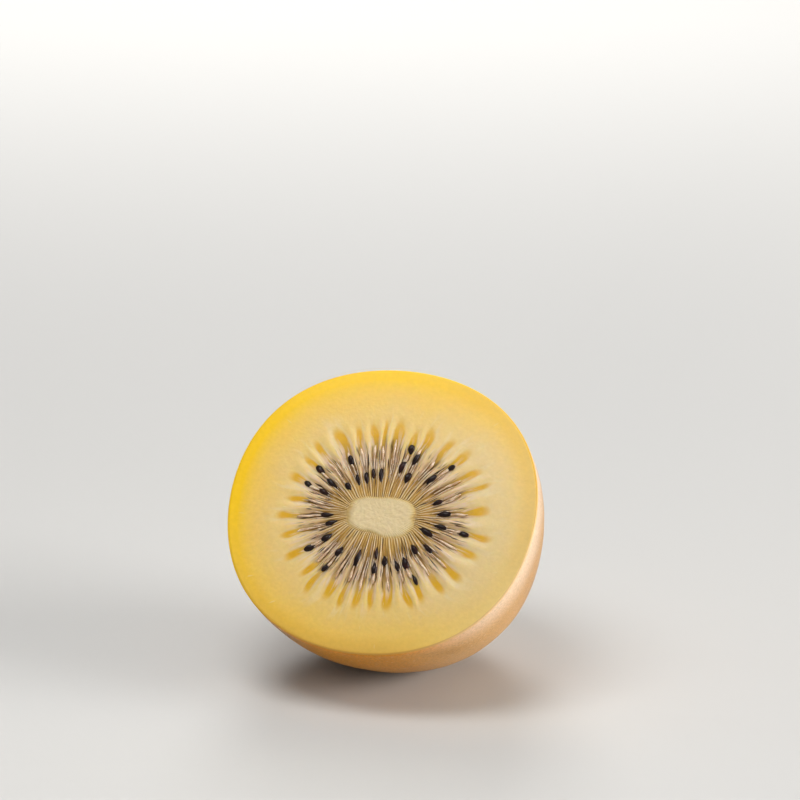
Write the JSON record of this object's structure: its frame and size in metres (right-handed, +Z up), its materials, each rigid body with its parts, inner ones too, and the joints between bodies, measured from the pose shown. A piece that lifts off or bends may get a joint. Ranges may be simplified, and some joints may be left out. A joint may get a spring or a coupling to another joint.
{
  "type": "golden kiwi fruit half",
  "caption": "Half of a golden kiwi fruit cut across its middle, with a pale core, dark seeds, gold flesh and thin brown skin, leaning back on its rounded stem end.",
  "frame": {"origin": "centre of the flat spot that the half rests on", "axes": "+Z up; the cut face looks towards -Y and 38 degrees above the horizon; +X along the cut face's width"},
  "size_m": [0.0504, 0.0475, 0.0483],
  "materials": {
    "skin": "thin golden-brown peel with pale flecks and a soft sheen",
    "flesh": "wet translucent golden flesh, with black-brown seeds grown into it",
    "core": "cream pith, moist and fine-grained",
    "calyx": "dry papery sepals and a corky stem scar"
  },
  "bodies": {
    "root": {"skin": "skin", "flesh": "flesh", "core": "core", "calyx": "calyx"}
  },
  "joints": []
}
